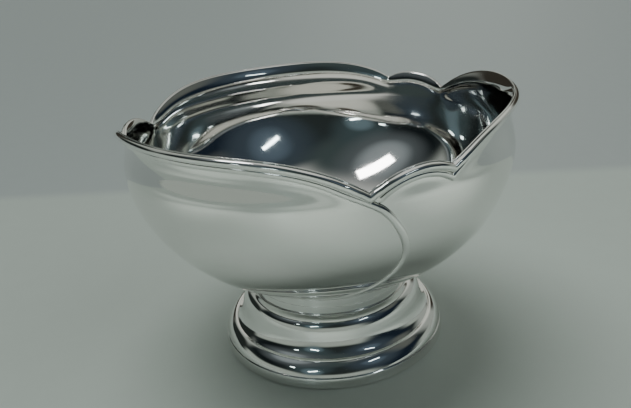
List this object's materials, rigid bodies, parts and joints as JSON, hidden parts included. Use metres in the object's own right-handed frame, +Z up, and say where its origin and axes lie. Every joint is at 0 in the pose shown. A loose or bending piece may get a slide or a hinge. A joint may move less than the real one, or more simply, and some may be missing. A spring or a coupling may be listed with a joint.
{
  "type": "punch bowl",
  "caption": "Footed punch bowl in polished silver plate, scalloped wire-edged rim of long petals and short lobes, sweeping mouldings on the belly, stepped collar and domed round foot.",
  "frame": {"origin": "on the bowl's axis, in the plane that the foot rests on", "axes": "+Z up along the bowl's axis; -Y is the side seen in front, where a long petal ends in its sweep moulding"},
  "size_m": [0.3085, 0.3081, 0.2055],
  "materials": {
    "bowl_silver": "mirror-polished silver plate",
    "mount_silver": "mirror-polished silver plate, applied wire",
    "foot_silver": "mirror-polished silver plate, spun"
  },
  "bodies": {
    "root": {"bowl_body": "bowl_silver", "long_petal_rim_wire_1": "mount_silver", "long_petal_rim_wire_2": "mount_silver", "long_petal_rim_wire_3": "mount_silver", "short_lobe_rim_wire_1": "mount_silver", "short_lobe_rim_wire_2": "mount_silver", "short_lobe_rim_wire_3": "mount_silver", "petal_sweep_moulding_1": "mount_silver", "petal_sweep_moulding_2": "mount_silver", "petal_sweep_moulding_3": "mount_silver", "short_lobe_step_wire_1": "mount_silver", "short_lobe_step_wire_2": "mount_silver", "short_lobe_step_wire_3": "mount_silver", "stepped_collar": "mount_silver", "foot": "foot_silver", "base_band": "foot_silver"}
  },
  "joints": []
}
